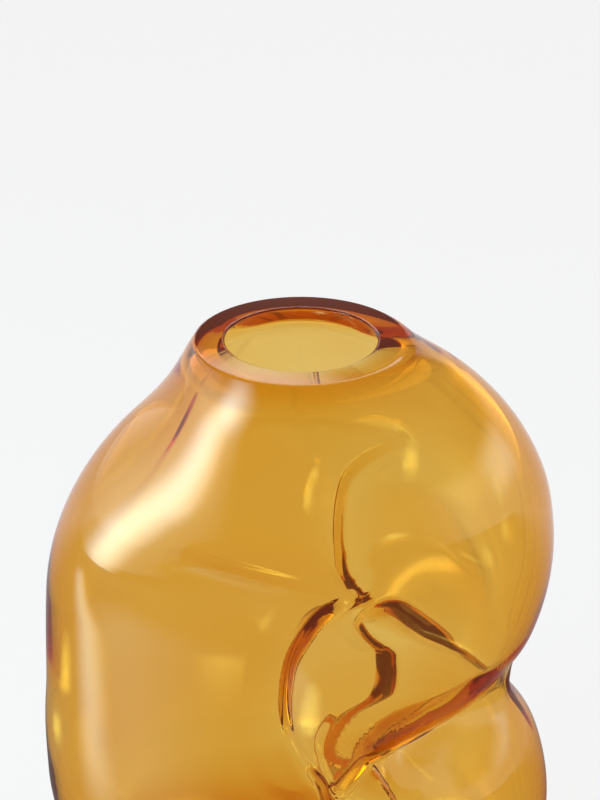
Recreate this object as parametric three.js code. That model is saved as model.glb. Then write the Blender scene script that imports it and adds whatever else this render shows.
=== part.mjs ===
// Blown glass vase: three bulges pressed against each other, a thick cut rim and a flat base
// Millimetres, +Z up, front of the vase towards -Y, mouth axis on the Z axis, base face on Z = 0

import * as THREE from 'three';

// Overall sizes
const HEIGHT = 205;
const RIM_RADIUS = 28.6;
const BORE_RADIUS = 20.7;
const NECK_FLARE = 0.7;
const NECK_SPREAD = 15;
const NECK_DEPTH = 45;
const RIM_BEVEL = 0.5;

// Bulges: centre x and z, half sizes across x, y and z, lean about y in radians
const UPPER_LEFT = { x: -2.8, z: 128.6, a: 67.3, b: 46.2, c: 82.6, lean: -0.71 };
const LOWER_LEFT = { x: -10.1, z: 57.8, a: 70.6, b: 54.2, c: 68.1, lean: 0.01 };
const UPPER_RIGHT = { x: 16.7, z: 109.9, a: 46.3, b: 48.5, c: 88.8, lean: 0.04 };
const LOWER_RIGHT = { x: -1.7, z: 62.0, a: 70.8, b: 50.6, c: 81.3, lean: 1.02 };
const BULGES = [UPPER_LEFT, LOWER_LEFT, UPPER_RIGHT, LOWER_RIGHT];

// How far neighbouring forms melt into each other
const BLEND_LEFT_SIDE = 23.3;
const BLEND_SHOULDER = 23.7;
const BLEND_UPPER_CREASE = 1.5;
const BLEND_LOWER_RIGHT = 2;
const BLEND_NECK = 7;
const BLEND_BASE = 6;
const SHOULDER_BLEND_FROM = 133;
const SHOULDER_BLEND_TO = 169;
const RIM_STEP = 2;
const RIM_STEP_HEIGHT = 7;

// Glass thickness: thin wall, thicker lip at the cut rim, straight bore at the back of the mouth
const WALL_BODY = 3.2;
const RIM_THICK_DEPTH = 9;
const BORE_STRAIGHT = 4;
const BORE_STRAIGHT_FROM = -0.2;
const BORE_STRAIGHT_TO = 0.6;
const BORE_SLOPE = 1.3;
const BORE_CURVE = 0.3;
const BLEND_BORE = 1.5;
const FLOOR_THICKNESS = 9;
const INNER_BLEND_CREASE = 4;
const INNER_BLEND_LOWER = 5;
const INNER_BLEND_FLOOR = 18;

// Creases where the bulges meet, with a valley outside and a ridge of gathered glass inside
// Each point is the angle round the mouth axis in degrees, the height, the depth of the valley
// and the height of the ridge
const CREASE_RIGHT_FRONT = {
  front: true,
  back: false,
  width: 22,
  rounding: 0.8,
  points: [
    [0, 100.5, 0.5, 0],
    [12, 99.5, 7, 0],
    [22, 98, 12, 1],
    [32, 97.5, 13.5, 2.5],
    [44, 98, 12, 2.5],
    [53, 99, 8, 2.5],
    [58.5, 98.5, 5.5, 2],
    [62, 95, 4, 1.5],
    [67, 89, 3, 1],
  ],
};
const CREASE_RIGHT_BACK = {
  front: false,
  back: true,
  width: 22,
  rounding: 0.8,
  points: [
    [0, 100.5, 0.5, 0],
    [12, 99.5, 7, 0],
    [22, 98, 12, 1],
    [32, 97.5, 13.5, 2.5],
    [44, 97, 12, 2.5],
    [54, 96, 8, 2.5],
    [62, 93, 5, 2],
    [68, 88.5, 3, 1],
  ],
};
const CREASE_FRONT = {
  front: true,
  back: false,
  width: 11.5,
  rounding: 1.5,
  points: [
    [58, 160, 0, 0],
    [63.3, 154.5, 0.8, 1],
    [69, 150, 1.8, 3],
    [74.6, 145, 2.4, 4],
    [79.5, 138, 2.8, 4.5],
    [84.2, 130, 3.1, 4],
    [86, 122, 3.2, 3],
    [86.3, 114, 3, 1],
    [85, 107.5, 2.5, 0],
    [82, 102, 2.2, 0],
    [77.5, 96, 2.5, 0.5],
    [72.5, 89.5, 3, 1],
    [69.5, 77, 3.2, 2],
    [64, 69.5, 3.8, 2],
    [61, 60, 4, 2],
    [62.5, 52, 3.6, 2],
    [68.5, 40, 2.5, 2],
    [77.5, 27, 0.8, 1],
    [84, 17, 0, 0],
  ],
};
const CREASE_BACK = {
  front: false,
  back: true,
  width: 11.5,
  rounding: 4,
  points: [
    [58, 157, 0, 0],
    [63.3, 153, 0.8, 0.5],
    [72.2, 147.5, 2, 1.5],
    [79.8, 141, 2.8, 2],
    [82.8, 132.5, 3.2, 2.2],
    [83.8, 122, 3.2, 2.2],
    [83.4, 111, 3, 2],
    [81.2, 99, 3, 1.8],
    [74.5, 96, 3, 1.6],
    [67.5, 94.5, 3, 1.5],
    [70.5, 88, 3, 1.5],
    [72, 83.5, 3, 1.5],
    [69.2, 78, 3.2, 1.8],
    [63.2, 70, 3.8, 2.2],
    [60.4, 61.5, 4, 2.8],
    [62, 54.5, 3.8, 3.5],
    [68.3, 41.5, 2.5, 3.5],
    [77.3, 28, 0.8, 3],
    [82, 20, 0, 0.5],
  ],
};
const FOLD_SHOULDER = {
  front: true,
  back: false,
  width: 8,
  rounding: 1,
  points: [
    [144, 203, 0, 0.5],
    [144, 196, 0, 1],
    [147, 187, 0, 1.8],
    [150.5, 179, 0, 2],
    [153, 170, 0, 1.8],
    [157, 162, 0, 1.4],
    [160, 155, 0, 0.8],
    [163, 148, 0, 0],
  ],
};
const CREASES = [CREASE_RIGHT_FRONT, CREASE_RIGHT_BACK, CREASE_FRONT, CREASE_BACK, FOLD_SHOULDER];
const CREASE_GIRTH_RADIUS = 50;
const CURVE_STEPS = 4;
const INNER_CREASE_ROUNDING = 3;
const RIDGE_WIDTH = 6;

// Mesh layout
const COLUMNS = 72;
const COLUMN_BIAS = 0.3;
const OUTER_ROW_STEP = 4.6;
const INNER_ROW_STEP = 6;
const OUTER_FAN_HEIGHT = 16;
const INNER_FAN_HEIGHT = 28;
const OUTER_FAN_ROWS = 8;
const INNER_FAN_ROWS = 7;
const FAN_BIAS = 1.6;
const SEARCH_RADIUS = Math.max(...BULGES.map((shape) => Math.abs(shape.x) + Math.hypot(shape.a, shape.c)));
const SEARCH_STEPS = 40;
const FLAT_TOLERANCE = 0.02;

const DEGREE = Math.PI / 180;

// Joins two distance values with a soft seam of the given size
function softMin(first, second, blend) {
  const overlap = Math.max(blend - Math.abs(first - second), 0) / blend;
  return Math.min(first, second) - (overlap * overlap * blend) / 4;
}

function softMax(first, second, blend) {
  return -softMin(-first, -second, blend);
}

function smoothStep(from, to, value) {
  const t = Math.min(Math.max((value - from) / (to - from), 0), 1);
  return t * t * (3 - 2 * t);
}

// Signed distance along the radius from the surface of one egg-shaped bulge
function bulge(point, shape) {
  const dx = point.x - shape.x;
  const dz = point.z - shape.z;
  const cosLean = Math.cos(shape.lean);
  const sinLean = Math.sin(shape.lean);
  const u = (cosLean * dx + sinLean * dz) / shape.a;
  const v = point.y / shape.b;
  const w = (cosLean * dz - sinLean * dx) / shape.c;
  const stretch = Math.hypot(u, v, w);
  if (stretch === 0) {
    return -shape.b;
  }
  return Math.hypot(dx, point.y, dz) * (1 - 1 / stretch);
}

// The blown body without neck and base
function bulges(point, creaseBlend, lowerBlend) {
  const left = softMin(bulge(point, UPPER_LEFT), bulge(point, LOWER_LEFT), BLEND_LEFT_SIDE);
  const rise = smoothStep(SHOULDER_BLEND_FROM, SHOULDER_BLEND_TO, point.z);
  const upperBlend = creaseBlend + (BLEND_SHOULDER - creaseBlend) * rise;
  const upper = softMin(left, bulge(point, UPPER_RIGHT), upperBlend);
  return softMin(upper, bulge(point, LOWER_RIGHT), lowerBlend);
}

// Bulges and flared neck, without the flat base
function withNeck(point, creaseBlend, lowerBlend) {
  const step = RIM_STEP * smoothStep(HEIGHT - RIM_STEP_HEIGHT, HEIGHT, point.z);
  const body = bulges(point, creaseBlend, lowerBlend) + step;
  const radius = Math.hypot(point.x, point.y);
  const drop = HEIGHT - point.z;
  const spread = NECK_SPREAD * (1 - Math.exp((-drop * NECK_FLARE) / NECK_SPREAD));
  const flare = (radius - RIM_RADIUS - spread) / Math.hypot(1, NECK_FLARE);
  const neck = Math.max(flare, drop - NECK_DEPTH);
  return softMin(body, neck, BLEND_NECK);
}

// Outside of the glass
function outerShape(point) {
  return softMax(withNeck(point, BLEND_UPPER_CREASE, BLEND_LOWER_RIGHT), -point.z, BLEND_BASE);
}

// Inside of the glass: follows the outside, with a thicker lip, a short bore and a thick floor
function innerShape(point) {
  const rimWall = (RIM_RADIUS - BORE_RADIUS) / Math.hypot(1, NECK_FLARE);
  const lip = smoothStep(HEIGHT - RIM_THICK_DEPTH, HEIGHT, point.z);
  const wall = WALL_BODY + (rimWall - WALL_BODY) * lip;
  const body = withNeck(point, INNER_BLEND_CREASE, INNER_BLEND_LOWER) + wall;
  const radius = Math.hypot(point.x, point.y);
  const backward = radius > 0 ? point.y / radius : 0;
  const straight = BORE_STRAIGHT * smoothStep(BORE_STRAIGHT_FROM, BORE_STRAIGHT_TO, backward);
  const below = Math.max(HEIGHT - straight - point.z, 0);
  const widening = BORE_SLOPE * below + BORE_CURVE * below * below;
  const bore = (radius - BORE_RADIUS - widening) / Math.hypot(1, BORE_SLOPE);
  return softMax(softMax(body, bore, BLEND_BORE), FLOOR_THICKNESS - point.z, INNER_BLEND_FLOOR);
}

// Smooth curve through the points of a crease, cut into short straight pieces on the unrolled girth
function creasePieces(points) {
  const place = ([angle, z]) => new THREE.Vector3(CREASE_GIRTH_RADIUS * angle * DEGREE, z, 0);
  const press = ([, , depth, ridge]) => new THREE.Vector3(depth, ridge, 0);
  const steps = CURVE_STEPS * (points.length - 1);
  const line = new THREE.CatmullRomCurve3(points.map(place), false, 'catmullrom').getPoints(steps);
  const size = new THREE.CatmullRomCurve3(points.map(press), false, 'catmullrom').getPoints(steps);
  return line.slice(1).map((to, i) => ({ from: line[i], to, sizeFrom: size[i], sizeTo: size[i + 1] }));
}

const CREASE_LINES = CREASES.map((crease) => ({ ...crease, pieces: creasePieces(crease.points) }));

// How far the creases press the surface in at a point; the inside gets the ridges as well
function creaseDepth(point, inner) {
  const girth = CREASE_GIRTH_RADIUS * Math.abs(Math.atan2(point.y, point.x));
  let deepest = 0;
  for (const crease of CREASE_LINES) {
    if (point.y < 0 ? !crease.front : !crease.back) {
      continue;
    }
    let nearest = Infinity;
    let depth = 0;
    let ridge = 0;
    for (const piece of crease.pieces) {
      const ds = piece.to.x - piece.from.x;
      const dz = piece.to.y - piece.from.y;
      const along = ((girth - piece.from.x) * ds + (point.z - piece.from.y) * dz) / (ds * ds + dz * dz);
      const t = Math.min(Math.max(along, 0), 1);
      const distance = Math.hypot(girth - piece.from.x - t * ds, point.z - piece.from.y - t * dz);
      if (distance < nearest) {
        nearest = distance;
        depth = piece.sizeFrom.x + t * (piece.sizeTo.x - piece.sizeFrom.x);
        ridge = piece.sizeFrom.y + t * (piece.sizeTo.y - piece.sizeFrom.y);
      }
    }
    const rounding = inner ? Math.max(crease.rounding, INNER_CREASE_ROUNDING) : crease.rounding;
    const share = Math.max(1 - (Math.hypot(nearest, rounding) - rounding) / crease.width, 0);
    const bump = inner ? Math.max(1 - (nearest / RIDGE_WIDTH) ** 2, 0) ** 2 : 0;
    deepest = Math.max(deepest, depth * share * share + ridge * bump);
  }
  return deepest;
}

// Point where a ray from the mouth axis leaves the shape, then pressed in by the creases
function surfacePoint(shape, height, angle, dip, inner) {
  const across = Math.cos(dip);
  const direction = new THREE.Vector3(
    Math.cos(angle) * across,
    Math.sin(angle) * across,
    -Math.sin(dip),
  );
  const point = new THREE.Vector3();
  let inside = 0;
  let outside = SEARCH_RADIUS;
  for (let i = 0; i < SEARCH_STEPS; i += 1) {
    const middle = (inside + outside) / 2;
    point.copy(direction).multiplyScalar(middle);
    point.z += height;
    if (shape(point) < 0) {
      inside = middle;
    } else {
      outside = middle;
    }
  }
  const reach = inside - creaseDepth(point, inner) * across;
  point.copy(direction).multiplyScalar(reach);
  point.z += height;
  return point;
}

// Rings of points from the rim down to the middle of the bottom
function surfaceRings(shape, topHeights, rowStep, fanHeight, fanRows, inner) {
  const heights = [...topHeights];
  const lowest = topHeights[topHeights.length - 1];
  const count = Math.round((lowest - fanHeight) / rowStep);
  for (let i = 1; i <= count; i += 1) {
    heights.push(lowest + ((fanHeight - lowest) * i) / count);
  }
  const rays = heights.map((height) => [height, 0]);
  for (let i = 1; i < fanRows; i += 1) {
    rays.push([fanHeight, (i / fanRows) ** FAN_BIAS * (Math.PI / 2)]);
  }
  return rays.map(([height, dip]) => {
    const ring = [];
    for (let j = 0; j < COLUMNS; j += 1) {
      const turn = (j / COLUMNS) * 2 * Math.PI;
      const angle = turn - COLUMN_BIAS * Math.sin(turn);
      const point = surfacePoint(shape, height, angle, dip, inner);
      if (Math.abs(point.z) < FLAT_TOLERANCE) {
        point.z = 0;
      }
      ring.push(point);
    }
    return ring;
  });
}

// A flat circle of points used for the two edges of the cut rim
function rimRing(radius) {
  const ring = [];
  for (let j = 0; j < COLUMNS; j += 1) {
    const turn = (j / COLUMNS) * 2 * Math.PI;
    const angle = turn - COLUMN_BIAS * Math.sin(turn);
    ring.push(new THREE.Vector3(Math.cos(angle) * radius, Math.sin(angle) * radius, HEIGHT));
  }
  return ring;
}

function middleOf(ring) {
  const middle = new THREE.Vector3();
  for (const point of ring) {
    middle.add(point);
  }
  return middle.divideScalar(ring.length);
}

// One closed skin: bottom centre, outside, cut rim, bore, inside, floor centre
function closedSkin(rings, startCentre, endCentre) {
  const positions = [startCentre, ...rings.flat(), endCentre].flatMap((p) => [p.x, p.y, p.z]);
  const last = positions.length / 3 - 1;
  const index = [];
  const at = (row, column) => 1 + row * COLUMNS + (column % COLUMNS);
  for (let j = 0; j < COLUMNS; j += 1) {
    index.push(0, at(0, j + 1), at(0, j));
    for (let row = 1; row < rings.length; row += 1) {
      index.push(at(row - 1, j), at(row - 1, j + 1), at(row, j + 1));
      index.push(at(row - 1, j), at(row, j + 1), at(row, j));
    }
    index.push(last, at(rings.length - 1, j), at(rings.length - 1, j + 1));
  }
  const geometry = new THREE.BufferGeometry();
  geometry.setAttribute('position', new THREE.Float32BufferAttribute(positions, 3));
  geometry.setIndex(index);
  geometry.computeVertexNormals();
  return geometry;
}

function glassBody() {
  const outerTop = [HEIGHT - RIM_BEVEL, HEIGHT - 4 * RIM_BEVEL];
  const innerTop = [HEIGHT - RIM_BEVEL, HEIGHT - 8 * RIM_BEVEL];
  const outside = surfaceRings(
    outerShape,
    outerTop,
    OUTER_ROW_STEP,
    OUTER_FAN_HEIGHT,
    OUTER_FAN_ROWS,
    false,
  );
  const inside = surfaceRings(
    innerShape,
    innerTop,
    INNER_ROW_STEP,
    INNER_FAN_HEIGHT,
    INNER_FAN_ROWS,
    true,
  );
  const bottomMiddle = middleOf(outside[outside.length - 1]);
  const floorMiddle = middleOf(inside[inside.length - 1]);
  const rimOutside = rimRing(RIM_RADIUS - RIM_BEVEL);
  const rimInside = rimRing(BORE_RADIUS + RIM_BEVEL);
  const rings = [...outside.reverse(), rimOutside, rimInside, ...inside];
  return closedSkin(rings, bottomMiddle, floorMiddle);
}

const amberGlass = new THREE.MeshStandardMaterial({
  color: 0xd89a2b,
  metalness: 0,
  roughness: 0.05,
  transparent: true,
  opacity: 0.6,
});

const vase = new THREE.Group();
vase.name = 'vase';
const body = new THREE.Mesh(glassBody(), amberGlass);
body.name = 'glass_body';
vase.add(body);

export default vase;
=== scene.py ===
import math

import bpy
import numpy as np
from mathutils import Matrix


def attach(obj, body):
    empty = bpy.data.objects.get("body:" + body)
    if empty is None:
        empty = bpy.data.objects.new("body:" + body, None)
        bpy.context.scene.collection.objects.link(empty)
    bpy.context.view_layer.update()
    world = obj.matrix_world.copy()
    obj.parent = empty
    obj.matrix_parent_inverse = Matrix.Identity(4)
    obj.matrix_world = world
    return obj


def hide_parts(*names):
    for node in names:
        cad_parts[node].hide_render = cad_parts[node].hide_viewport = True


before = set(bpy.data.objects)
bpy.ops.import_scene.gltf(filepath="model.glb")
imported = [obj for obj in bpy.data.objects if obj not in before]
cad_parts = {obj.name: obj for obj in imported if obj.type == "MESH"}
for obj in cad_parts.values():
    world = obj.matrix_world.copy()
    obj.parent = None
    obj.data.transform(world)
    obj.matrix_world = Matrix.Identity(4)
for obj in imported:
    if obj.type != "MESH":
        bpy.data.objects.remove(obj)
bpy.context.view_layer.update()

MM = 0.001

# Overall sizes in millimetres, the same as in the solid
HEIGHT = 205.0
RIM_RADIUS = 28.6
BORE_RADIUS = 20.7
NECK_FLARE = 0.7
NECK_SPREAD = 15.0
NECK_DEPTH = 45.0

# Bulges: centre x and z, half sizes across x, y and z, lean about y in radians
UPPER_LEFT = (-2.8, 128.6, 67.3, 46.2, 82.6, -0.71)
LOWER_LEFT = (-10.1, 57.8, 70.6, 54.2, 68.1, 0.01)
UPPER_RIGHT = (16.7, 109.9, 46.3, 48.5, 88.8, 0.04)
LOWER_RIGHT = (-1.7, 62.0, 70.8, 50.6, 81.3, 1.02)

# How far the bulges, neck and base run into each other, and the heights where the shoulder fills in
BLEND_LEFT_SIDE = 23.3
BLEND_SHOULDER = 23.7
BLEND_UPPER_CREASE = 1.5
BLEND_LOWER_RIGHT = 2.0
BLEND_NECK = 7.0
BLEND_BASE = 6.0
SHOULDER_BLEND = (133.0, 169.0)
RIM_STEP = 2.0
RIM_STEP_HEIGHT = 7.0

# Glass thickness: the thick glass at the mouth reaches deeper at the back than at the front, and
# it turns from one to the other between these shares of the way from the side to the back
WALL_BODY = 3.2
RIM_THICK_DEPTH = (9.0, 14.0)
RIM_THICK_TURN = (0.1, 0.75)
BORE_STRAIGHT = 4.0
BORE_SLOPE = 1.3
BORE_CURVE = 0.3
BLEND_BORE = 1.5
FLOOR_THICKNESS = 9.0
INNER_BLEND_CREASE = 4.0
INNER_BLEND_LOWER = 5.0
INNER_BLEND_FLOOR = 18.0

# Creases: side of the vase (-1 front, 1 back), width and rounding of the valley outside,
# width of the ridge inside, then points of angle round the mouth axis in degrees, height,
# depth of the valley and height of the ridge
CREASE_RIGHT_FRONT = (-1, 22.0, 0.8, 3.2, (
    (0, 100.5, 0.5, 0), (12, 99.5, 7, 0), (22, 98, 12, 1.5), (32, 97.5, 13.5, 4),
    (44, 98, 12, 5), (53, 99, 8, 5), (58.5, 98.5, 5.5, 4.5), (62, 95, 4, 3.5), (67, 89, 3, 2)))
CREASE_RIGHT_BACK = (1, 22.0, 0.8, 4.4, (
    (0, 100.5, 0.5, 0), (12, 99.5, 7, 0), (22, 98, 12, 1), (32, 97.5, 13.5, 2.5),
    (44, 97, 12, 2.5), (54, 96, 8, 2.5), (62, 93, 5, 2), (68, 88.5, 3, 1)))
CREASE_FRONT = (-1, 11.5, 3.0, 2.7, (
    (58, 160, 0, 0), (63.3, 154.5, 0.8, 0), (69, 150, 1.8, 1), (74.6, 145, 2.4, 5),
    (79.5, 138, 2.8, 8.5), (84.2, 130, 3.1, 9), (86, 122, 3.2, 7.5), (86.3, 114, 3, 4),
    (85, 107.5, 2.5, 0.5), (82, 102, 2.2, 0), (77.5, 96, 2.5, 0), (72.5, 89.5, 3, 1.5),
    (69.5, 77, 3.2, 3), (64, 69.5, 3.8, 4), (61, 60, 4, 4), (62.5, 52, 3.6, 4),
    (68.5, 40, 2.5, 3), (77.5, 27, 0.8, 1), (84, 17, 0, 0)))
CREASE_BACK = (1, 11.5, 4.0, 2.6, (
    (58, 157, 0, 0), (63.3, 153, 0.8, 0.4), (72.2, 147.5, 2, 1.0), (79.8, 141, 2.8, 1.6),
    (82.8, 132.5, 3.2, 1.8), (83.8, 122, 3.2, 2.0), (83.4, 111, 3, 2.0), (81.2, 99, 3, 2.0),
    (74.5, 96, 3, 2.0), (67.5, 94.5, 3, 1.8), (70.5, 88, 3, 1.6), (72, 83.5, 3, 1.4),
    (69.2, 78, 3.2, 1.2), (63.2, 70, 3.8, 1.6), (60.4, 61.5, 4, 3)))
CREASE_BACK_LOW = (1, 11.5, 4.0, 4.0, (
    (63.2, 70, 3.8, 1.6), (60.4, 61.5, 4, 6), (62, 54.5, 3.8, 10), (68.3, 41.5, 2.5, 10),
    (77.3, 28, 0.8, 7), (82, 20, 0, 0.5)))
FOLD_SHOULDER = (-1, 8.0, 1.0, 7.0, (
    (145, 203, 0, 0.1), (145, 196, 0, 0.2), (148, 187, 0, 0.5), (151, 179, 0, 0.55),
    (153.5, 170, 0, 0.45), (157, 162, 0, 0.3), (160, 155, 0, 0.2), (163, 148, 0, 0)))
CREASES = (CREASE_RIGHT_FRONT, CREASE_RIGHT_BACK, CREASE_FRONT, CREASE_BACK, CREASE_BACK_LOW, FOLD_SHOULDER)
CURVE_STEPS = 10
INNER_ROUNDING = 3.0
RIDGE_TOP = 0.4
GIRTH_RADIUS = 50.0

# Mesh: columns round the mouth's axis, rows down each side, then rays that fan out to the bottom.
# The surface is found along each ray by halving steps, and the tiny sizes keep divisions from zero
COLUMNS = 800
ROWS_AT_RIM = (0.25, 0.6, 1.2, 2.0)
ROWS_START = 3.0
ROW_STEP_OUTSIDE = 0.75
ROW_STEP_INSIDE = 0.5
FAN_HEIGHT_OUTSIDE = 16.0
FAN_HEIGHT_INSIDE = 28.0
FAN_ROWS_OUTSIDE = 60
FAN_ROWS_INSIDE = 50
FAN_POWER = 1.6
RIM_INSETS = (0.35, 0.5, 0.8)
SEARCH_RADIUS = 140.0
SEARCH_STEPS = 30
FAR = 1e9
TINY_SQUARE = 1e-9
TINY_RADIUS = 1e-6

# Amber glass: colour and density of its absorption, and a painted glow: the glass gives off a faint light
# of its own, standing in for the light it scatters
GLASS_IOR = 1.5
GLASS_TINT = (0.9234, 0.717, 0.0, 1)
GLASS_DENSITY = 470.0
PAINTED_GLOW_COLOUR = (1.0, 0.45, 0.02, 1)
PAINTED_GLOW_STRENGTH = 4.2

# Camera in metres and degrees, with its focal length in pixels of a photo 800 high:
# 24.4 degrees above the rim, 0.36 m from it, turned to the right
CAMERA_PLACE = (0.0527, -0.3236, 0.3537)
CAMERA_TILT = 27.04
CAMERA_TURN = 9.3
CAMERA_CLIP = 0.01
FOCAL_PIXELS = 1349.5
PHOTO_HEIGHT = 800

# Pale table in metres, lit by the lamps, with the background's own white for what looks straight
# at it. What the glass sees of it is painted shade instead: a painted shadow of the vase behind it,
# and darker still in front of the vase, turning between two y values
FLOOR_HALF = 4.0
FLOOR_GREY = (0.12, 0.12, 0.12, 1)
FLOOR_OWN = 0.875
PAINTED_SHADOW_BEHIND = 0.80
PAINTED_SHADE_FRONT_MIRRORED = 0.1
PAINTED_SHADE_FRONT_THROUGH = 0.45
MIRRORED_FROM = (0.04, 0.30)
THROUGH_FROM = (-0.20, -0.06)

# Spots of light painted on the table on the left, which only show as mirrored by the glass:
# the ray that sees them, x, y, radii, strength
PAINTED_TABLE_LIGHT = (
    ("Is Transmission Ray", -0.085, -0.175, 0.055, 0.075, 9.0),
    ("Is Transmission Ray", -0.205, 0.020, 0.050, 0.030, 4.0),
    ("Is Transmission Ray", -0.060, -0.150, 0.020, 0.020, 5.0),
    ("Is Glossy Ray", -0.240, -0.170, 0.240, 0.140, 0.45))
PAINTED_LIGHT_COLOUR = (0.75, 1.25, 2.0)

# World, by the parts of a ray's direction: pale low down and dark higher up (z), and darker
# behind the camera (y)
PALE = 0.922
WORLD_OVERHEAD = 0.13
WORLD_DARKENS = (0.28, 0.42)
WORLD_BEHIND_CAMERA = (-0.75, -0.35)
BEHIND_CAMERA_MIRRORED = 0.12
BEHIND_CAMERA_THROUGH = 0.5

# Bright windows: the ray that sees them, direction, radius of the even part and of the whole, strength
WINDOWS = (
    ("Is Transmission Ray", (0.64, 0.75, 0.12), 0.0, 0.7, 1.6),
    ("Is Glossy Ray", (-0.82, 0.57, 0.0), 0.0, 0.55, 0.5),
    ("Is Glossy Ray", (-0.20, 0.60, 0.776), 0.437, 0.458, 2.0))

LAMP_COLOUR = (0.72, 1.0, 1.08)
LAMP_AIM = (0, 0, 0.12)
TABLE_LAMP_AIM = (0.0355, -0.118, 0.004)

BOUNCES = 24
GLOSSY_BOUNCES = 16


def soft_min(a, b, blend):
    overlap = np.maximum(blend - np.abs(a - b), 0) / blend
    return np.minimum(a, b) - overlap * overlap * blend / 4


def soft_max(a, b, blend):
    return -soft_min(-a, -b, blend)


def smooth_step(lo, hi, value):
    t = np.clip((value - lo) / (hi - lo), 0, 1)
    return t * t * (3 - 2 * t)


def bulge(p, shape):
    """About the distance from a leaning ellipsoid, negative inside it."""
    x, z, a, b, c, lean = shape
    dx, dy, dz = p[..., 0] - x, p[..., 1], p[..., 2] - z
    u = (math.cos(lean) * dx + math.sin(lean) * dz) / a
    w = (math.cos(lean) * dz - math.sin(lean) * dx) / c
    stretch = np.sqrt(u * u + (dy / b) ** 2 + w * w + TINY_SQUARE)
    return np.sqrt(dx * dx + dy * dy + dz * dz) * (1 - 1 / stretch)


def bulges(p, crease_blend, lower_blend):
    left = soft_min(bulge(p, UPPER_LEFT), bulge(p, LOWER_LEFT), BLEND_LEFT_SIDE)
    rise = smooth_step(*SHOULDER_BLEND, p[..., 2])
    blend = crease_blend + (BLEND_SHOULDER - crease_blend) * rise
    upper = soft_min(left, bulge(p, UPPER_RIGHT), blend)
    return soft_min(upper, bulge(p, LOWER_RIGHT), lower_blend)


def with_neck(p, crease_blend, lower_blend):
    """Bulges and flared neck, without the flat base."""
    z = p[..., 2]
    step = RIM_STEP * smooth_step(HEIGHT - RIM_STEP_HEIGHT, HEIGHT, z)
    body = bulges(p, crease_blend, lower_blend) + step
    drop = HEIGHT - z
    spread = NECK_SPREAD * (1 - np.exp(-drop * NECK_FLARE / NECK_SPREAD))
    flare = (np.hypot(p[..., 0], p[..., 1]) - RIM_RADIUS - spread) / math.hypot(1, NECK_FLARE)
    neck = np.maximum(flare, drop - NECK_DEPTH)
    return soft_min(body, neck, BLEND_NECK)


def outer_shape(p):
    return soft_max(with_neck(p, BLEND_UPPER_CREASE, BLEND_LOWER_RIGHT), -p[..., 2], BLEND_BASE)


def inner_shape(p):
    z = p[..., 2]
    radius = np.hypot(p[..., 0], p[..., 1])
    rim_wall = (RIM_RADIUS - BORE_RADIUS) / math.hypot(1, NECK_FLARE)
    towards_back = smooth_step(*RIM_THICK_TURN, p[..., 1] / (radius + TINY_RADIUS))
    depth_front, depth_back = RIM_THICK_DEPTH
    thick_depth = depth_front + (depth_back - depth_front) * towards_back
    wall = WALL_BODY + (rim_wall - WALL_BODY) * smooth_step(HEIGHT - thick_depth, HEIGHT, z)
    body = with_neck(p, INNER_BLEND_CREASE, INNER_BLEND_LOWER) + wall
    below = np.maximum(HEIGHT - BORE_STRAIGHT * towards_back - z, 0)
    bore = (radius - BORE_RADIUS - BORE_SLOPE * below - BORE_CURVE * below ** 2) / math.hypot(1, BORE_SLOPE)
    return soft_max(soft_max(body, bore, BLEND_BORE), FLOOR_THICKNESS - z, INNER_BLEND_FLOOR)


def smooth_curve(points):
    """Catmull-Rom curve through the given points."""
    points = np.array(points, float)
    ends = np.concatenate([[2 * points[0] - points[1]], points, [2 * points[-1] - points[-2]]])
    t = (np.arange(CURVE_STEPS) / CURVE_STEPS)[:, None]
    spans = []
    for before, a, b, after in zip(ends, ends[1:], ends[2:], ends[3:]):
        v0, v1 = (b - before) / 2, (after - a) / 2
        cubic = 2 * a - 2 * b + v0 + v1
        square = -3 * a + 3 * b - 2 * v0 - v1
        spans.append(cubic * t ** 3 + square * t ** 2 + v0 * t + a)
    return np.concatenate(spans + [points[-1:]])


def crease_depth(p, inner):
    """How far the creases press the surface in; on the inside a ridge of glass is added."""
    girth = GIRTH_RADIUS * np.abs(np.arctan2(p[..., 1], p[..., 0]))
    z = p[..., 2]
    deepest = np.zeros_like(z)
    for side, width, rounding, ridge_width, points in CREASES:
        nearest = np.full_like(z, FAR)
        depth = np.zeros_like(z)
        height = np.zeros_like(z)
        curve = smooth_curve(points)
        for (a0, z0, d0, h0), (a1, z1, d1, h1) in zip(curve, curve[1:]):
            s0 = GIRTH_RADIUS * math.radians(a0)
            ds = GIRTH_RADIUS * math.radians(a1) - s0
            dz = z1 - z0
            t = np.clip(((girth - s0) * ds + (z - z0) * dz) / (ds * ds + dz * dz), 0, 1)
            distance = np.hypot(girth - s0 - t * ds, z - z0 - t * dz)
            closer = distance < nearest
            nearest = np.where(closer, distance, nearest)
            depth = np.where(closer, d0 + t * (d1 - d0), depth)
            height = np.where(closer, h0 + t * (h1 - h0), height)
        if inner:
            rounding = max(rounding, INNER_ROUNDING)
        share = np.clip(1 - (np.hypot(nearest, rounding) - rounding) / width, 0, 1)
        press = depth * share * share
        if inner:
            press = press + height * smooth_step(ridge_width, ridge_width * RIDGE_TOP, nearest)
        press = np.where((p[..., 1] >= 0) == (side > 0), press, 0)
        deepest = np.maximum(deepest, press)
    return deepest


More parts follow.
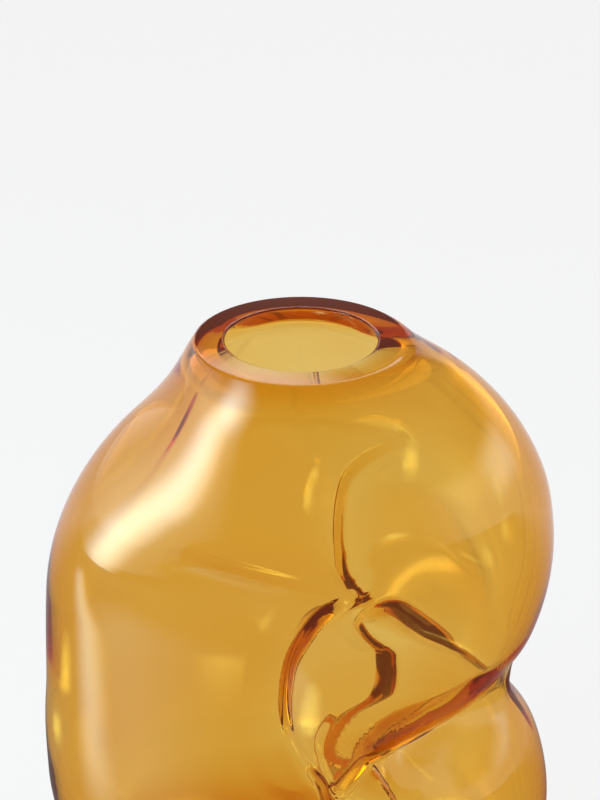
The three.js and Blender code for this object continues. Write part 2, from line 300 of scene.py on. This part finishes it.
def rings(shape, row_step, fan_height, fan_rows, inner):
    """Rows of points from the rim down to the middle of the bottom."""
    angle = np.linspace(0, 2 * math.pi, COLUMNS, endpoint=False)
    heights = [HEIGHT - drop for drop in ROWS_AT_RIM]
    heights += list(np.arange(HEIGHT - ROWS_START, fan_height, -row_step))
    fan = [(i / fan_rows) ** FAN_POWER * math.pi / 2 for i in range(1, fan_rows)]
    dip = np.array([0.0] * len(heights) + fan)[:, None]
    shape_of_rows = (len(dip), COLUMNS)
    origin = np.zeros(shape_of_rows + (3,))
    origin[..., 2] = np.array(heights + [fan_height] * len(fan))[:, None]
    down = np.broadcast_to(-np.sin(dip), shape_of_rows)
    ray = np.stack([np.cos(dip) * np.cos(angle), np.cos(dip) * np.sin(angle), down], -1)
    inside = np.zeros(shape_of_rows)
    outside = inside + SEARCH_RADIUS
    for _ in range(SEARCH_STEPS):
        middle = (inside + outside) / 2
        is_in = shape(origin + middle[..., None] * ray) < 0
        inside = np.where(is_in, middle, inside)
        outside = np.where(is_in, outside, middle)
    point = origin + inside[..., None] * ray
    reach = inside - crease_depth(point, inner) * np.cos(dip)
    return origin + reach[..., None] * ray


def cut_rim():
    """Flat ring of the mouth, with close rows at both edges so that it shades flat."""
    angle = np.linspace(0, 2 * math.pi, COLUMNS, endpoint=False)
    radii = [RIM_RADIUS - inset for inset in RIM_INSETS]
    radii += [BORE_RADIUS + inset for inset in reversed(RIM_INSETS)]
    return np.stack([
        np.stack([radius * np.cos(angle), radius * np.sin(angle), np.full(COLUMNS, HEIGHT)], -1)
        for radius in radii])


def closed_skin(rows, name):
    """One closed mesh: bottom centre, outside, cut rim, bore, inside, floor centre."""
    count, columns = rows.shape[:2]
    points = np.concatenate([rows[0].mean(0)[None], rows.reshape(-1, 3), rows[-1].mean(0)[None]]) * MM
    grid = 1 + np.arange(count * columns).reshape(count, columns)
    turned = np.roll(grid, -1, axis=1)
    quads = np.stack([grid[:-1], turned[:-1], turned[1:], grid[1:]], -1).reshape(-1, 4)
    faces = quads.tolist()
    faces += [[0, b, a] for a, b in zip(grid[0], turned[0])]
    faces += [[len(points) - 1, a, b] for a, b in zip(grid[-1], turned[-1])]
    mesh = bpy.data.meshes.new(name)
    mesh.from_pydata(points.tolist(), [], faces)
    mesh.update()
    mesh.shade_smooth()
    thing = bpy.data.objects.new(name, mesh)
    bpy.context.scene.collection.objects.link(thing)
    return thing


def node(tree, kind, inputs, **settings):
    """A new shader node: an input given as another node's output is linked, others are set."""
    made = tree.nodes.new(kind)
    for name, value in settings.items():
        setattr(made, name, value)
    for name, value in inputs.items():
        if isinstance(value, bpy.types.NodeSocket):
            tree.links.new(value, made.inputs[name])
        else:
            made.inputs[name].default_value = value
    return made


def calculate(tree, operation, *values, clamp=False):
    inputs = dict(enumerate(values))
    return node(tree, "ShaderNodeMath", inputs, operation=operation, use_clamp=clamp).outputs[0]


def smooth_range(tree, value, start, end, at_start=0.0, at_end=1.0):
    """at_start up to start, at_end from end on, with a smooth way between them."""
    inputs = {"Value": value, "From Min": start, "From Max": end, "To Min": at_start, "To Max": at_end}
    return node(tree, "ShaderNodeMapRange", inputs, interpolation_type="SMOOTHSTEP").outputs["Result"]


def amber_glass():
    material = bpy.data.materials.new("amber_glass")
    material.use_nodes = True
    tree = material.node_tree
    shader = tree.nodes["Principled BSDF"]
    shader.inputs["Base Color"].default_value = (1, 1, 1, 1)
    shader.inputs["Roughness"].default_value = 0.0
    shader.inputs["IOR"].default_value = GLASS_IOR
    shader.inputs["Transmission Weight"].default_value = 1.0
    absorb = node(tree, "ShaderNodeVolumeAbsorption", {"Color": GLASS_TINT, "Density": GLASS_DENSITY})
    # Painted glow: the glass volume gives off a faint amber light of its own, which stands in for scattered
    # light
    painted_glow = node(tree, "ShaderNodeEmission", {"Color": PAINTED_GLOW_COLOUR, "Strength": PAINTED_GLOW_STRENGTH})
    both = node(tree, "ShaderNodeAddShader", {0: absorb.outputs["Volume"], 1: painted_glow.outputs["Emission"]})
    tree.links.new(both.outputs["Shader"], tree.nodes["Material Output"].inputs["Volume"])
    return material


def pale_paper():
    """The table's material: its own white, and for rays that come from the glass, painted shade and painted
    spots of light.
    """
    material = bpy.data.materials.new("paper")
    material.use_nodes = True
    tree = material.node_tree
    path = node(tree, "ShaderNodeLightPath", {})
    position = node(tree, "ShaderNodeNewGeometry", {}).outputs["Position"]
    y = node(tree, "ShaderNodeSeparateXYZ", {0: position}).outputs["Y"]
    # Painted shade: the glass sees the table darker than its own white, as a painted shadow behind the vase
    # and darker still in front
    mirrored = smooth_range(tree, y, *MIRRORED_FROM, PAINTED_SHADE_FRONT_MIRRORED, PAINTED_SHADOW_BEHIND)
    mirrored = calculate(tree, "MULTIPLY", mirrored, path.outputs["Is Glossy Ray"])
    through = smooth_range(tree, y, *THROUGH_FROM, PAINTED_SHADE_FRONT_THROUGH, PAINTED_SHADOW_BEHIND)
    through = calculate(tree, "MULTIPLY", through, path.outputs["Is Transmission Ray"])
    painted_shade_in_glass = calculate(tree, "MAXIMUM", mirrored, through)
    straight = calculate(tree, "MULTIPLY", path.outputs["Is Camera Ray"], FLOOR_OWN)
    total = calculate(tree, "ADD", painted_shade_in_glass, straight)
    # Painted light: bright spots and a faint painted reflection are added to the table's glow, and show
    # only after a reflection in the glass
    painted_light = 0.0
    for ray, x, y, radius_x, radius_y, strength in PAINTED_TABLE_LIGHT:
        inputs = {"Vector": position, "Location": (x, y, 0), "Scale": (radius_x, radius_y, 1)}
        painted_spot = node(tree, "ShaderNodeMapping", inputs, vector_type="TEXTURE").outputs["Vector"]
        distance = node(tree, "ShaderNodeVectorMath", {0: painted_spot}, operation="LENGTH").outputs["Value"]
        level = smooth_range(tree, distance, 0.0, 1.0, strength, 0.0)
        painted_light = calculate(tree, "MULTIPLY_ADD", level, path.outputs[ray], painted_light)
    reflections = calculate(tree, "SUBTRACT", path.outputs["Ray Depth"], path.outputs["Transmission Depth"],
                            clamp=True)
    painted_light = calculate(tree, "MULTIPLY", painted_light, reflections)
    inputs = {0: painted_light, 1: PAINTED_LIGHT_COLOUR, 2: total}
    colour = node(tree, "ShaderNodeVectorMath", inputs, operation="MULTIPLY_ADD")
    shader = tree.nodes["Principled BSDF"]
    shader.inputs["Base Color"].default_value = FLOOR_GREY
    shader.inputs["Roughness"].default_value = 1.0
    shader.inputs["Specular IOR Level"].default_value = 0.0
    shader.inputs["Emission Strength"].default_value = 1.0
    tree.links.new(colour.outputs["Vector"], shader.inputs["Emission Color"])
    return material


def lamp(name, azimuth, elevation, distance, width, height, radiance, roll=0.0, soft=1.0, fade=1.0,
         aim=LAMP_AIM, flat=False):
    """A softbox with soft edges: azimuth 0 is in front of the vase, 90 on its right."""
    a, e, r = math.radians(azimuth), math.radians(elevation), math.radians(roll)
    light = bpy.data.lights.new(name, "AREA")
    light.shape = "RECTANGLE"
    light.size = width
    light.size_y = height
    light.energy = radiance * math.pi * width * height
    light.color = LAMP_COLOUR
    light.use_nodes = True
    tree = light.node_tree
    across = node(tree, "ShaderNodeNewGeometry", {}).outputs["Parametric"]
    across = node(tree, "ShaderNodeSeparateXYZ", {0: across}).outputs
    edges = []
    for axis, margin in (("X", soft), ("Y", fade)):
        from_middle = calculate(tree, "ABSOLUTE", calculate(tree, "MULTIPLY_ADD", across[axis], 2.0, -1.0))
        edges.append(smooth_range(tree, from_middle, 1.0, 1.0 - margin))
    tree.links.new(calculate(tree, "MULTIPLY", *edges), tree.nodes["Emission"].inputs["Strength"])
    out = np.array([math.sin(a) * math.cos(e), -math.cos(a) * math.cos(e), math.sin(e)])
    place = np.array(aim) + distance * out
    side = np.cross([0, 0, 1], out)
    side /= np.linalg.norm(side)
    high = np.cross(out, side)
    side, high = math.cos(r) * side + math.sin(r) * high, math.cos(r) * high - math.sin(r) * side
    if flat:
        high, out = -out, high
    thing = bpy.data.objects.new(name, light)
    thing.matrix_world = Matrix([*np.stack([side, high, out, place], -1).tolist(), [0, 0, 0, 1]])
    thing.visible_camera = False
    bpy.context.scene.collection.objects.link(thing)


def studio_world():
    """White at table level, dark overhead and behind the camera, and plain white for the camera."""
    world = bpy.data.worlds.new("world")
    world.use_nodes = True
    tree = world.node_tree
    path = node(tree, "ShaderNodeLightPath", {})
    direction = node(tree, "ShaderNodeTexCoord", {}).outputs["Generated"]
    split = node(tree, "ShaderNodeSeparateXYZ", {0: direction})
    rise = smooth_range(tree, split.outputs["Z"], *WORLD_DARKENS, PALE, WORLD_OVERHEAD)
    inputs = {"Value": path.outputs["Is Transmission Ray"],
              "To Min": BEHIND_CAMERA_MIRRORED, "To Max": BEHIND_CAMERA_THROUGH}
    behind_camera = node(tree, "ShaderNodeMapRange", inputs).outputs["Result"]
    front = smooth_range(tree, split.outputs["Y"], *WORLD_BEHIND_CAMERA, behind_camera)
    room = calculate(tree, "MULTIPLY", rise, front)
    inputs = {"Factor": path.outputs["Is Camera Ray"], "A": room, "B": PALE}
    level = node(tree, "ShaderNodeMix", inputs, data_type="FLOAT").outputs["Result"]
    for ray, aim, even_radius, radius, strength in WINDOWS:
        off = node(tree, "ShaderNodeVectorMath", {0: direction, 1: aim}, operation="DISTANCE")
        pane = smooth_range(tree, off.outputs["Value"], even_radius, radius, strength, 0.0)
        level = calculate(tree, "MULTIPLY_ADD", pane, path.outputs[ray], level)
    background = tree.nodes["Background"]
    background.inputs["Color"].default_value = (1, 1, 1, 1)
    tree.links.new(level, background.inputs["Strength"])
    return world


def photo_camera():
    tilt, turn = math.radians(CAMERA_TILT), math.radians(CAMERA_TURN)
    back = np.array([math.sin(turn) * math.cos(tilt), -math.cos(turn) * math.cos(tilt), math.sin(tilt)])
    right = np.array([math.cos(turn), math.sin(turn), 0.0])
    up = np.cross(back, right)
    data = bpy.data.cameras.new("camera")
    data.sensor_fit = "VERTICAL"
    data.angle_y = 2 * math.atan(PHOTO_HEIGHT / 2 / FOCAL_PIXELS)
    data.clip_start = CAMERA_CLIP
    camera = bpy.data.objects.new("camera", data)
    camera.matrix_world = Matrix([*np.stack([right, up, back, CAMERA_PLACE], -1).tolist(), [0, 0, 0, 1]])
    bpy.context.scene.collection.objects.link(camera)
    return camera


# Glass
outside = rings(outer_shape, ROW_STEP_OUTSIDE, FAN_HEIGHT_OUTSIDE, FAN_ROWS_OUTSIDE, inner=False)
inside = rings(inner_shape, ROW_STEP_INSIDE, FAN_HEIGHT_INSIDE, FAN_ROWS_INSIDE, inner=True)
glass = closed_skin(np.concatenate([outside[::-1], cut_rim(), inside]), "glass_wall")
glass.data.materials.append(amber_glass())
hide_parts("glass_body")
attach(glass, "root")

# Camera
scene = bpy.context.scene
scene.camera = photo_camera()

# Table
corners = [(x * FLOOR_HALF, y * FLOOR_HALF, 0) for x, y in ((-1, -1), (1, -1), (1, 1), (-1, 1))]
floor_mesh = bpy.data.meshes.new("floor")
floor_mesh.from_pydata(corners, [], [(0, 1, 2, 3)])
floor_mesh.materials.append(pale_paper())
floor = bpy.data.objects.new("floor", floor_mesh)
scene.collection.objects.link(floor)

# Lamps in degrees and metres
lamp("left_softbox", azimuth=-68, elevation=6, distance=0.75, width=0.36, height=0.95, radiance=8.0,
     roll=-40, fade=0.8)
lamp("left_top", azimuth=-52, elevation=26, distance=0.75, width=0.50, height=0.50, radiance=7.0,
     roll=-25, fade=0.9)
lamp("left_table", azimuth=-98.6, elevation=0, distance=0.40, width=0.095, height=0.50, radiance=20.0,
     fade=0.5, aim=TABLE_LAMP_AIM, flat=True)
lamp("left_wall", azimuth=-72, elevation=8, distance=0.85, width=1.2, height=1.0, radiance=2.0)
lamp("right_softbox", azimuth=100, elevation=18, distance=0.9, width=0.7, height=0.4, radiance=2.0,
     soft=0.8, fade=0.8)
scene.world = studio_world()

scene.view_settings.view_transform = "Standard"
scene.cycles.max_bounces = BOUNCES
scene.cycles.transmission_bounces = BOUNCES
scene.cycles.glossy_bounces = GLOSSY_BOUNCES
scene.cycles.caustics_refractive = True
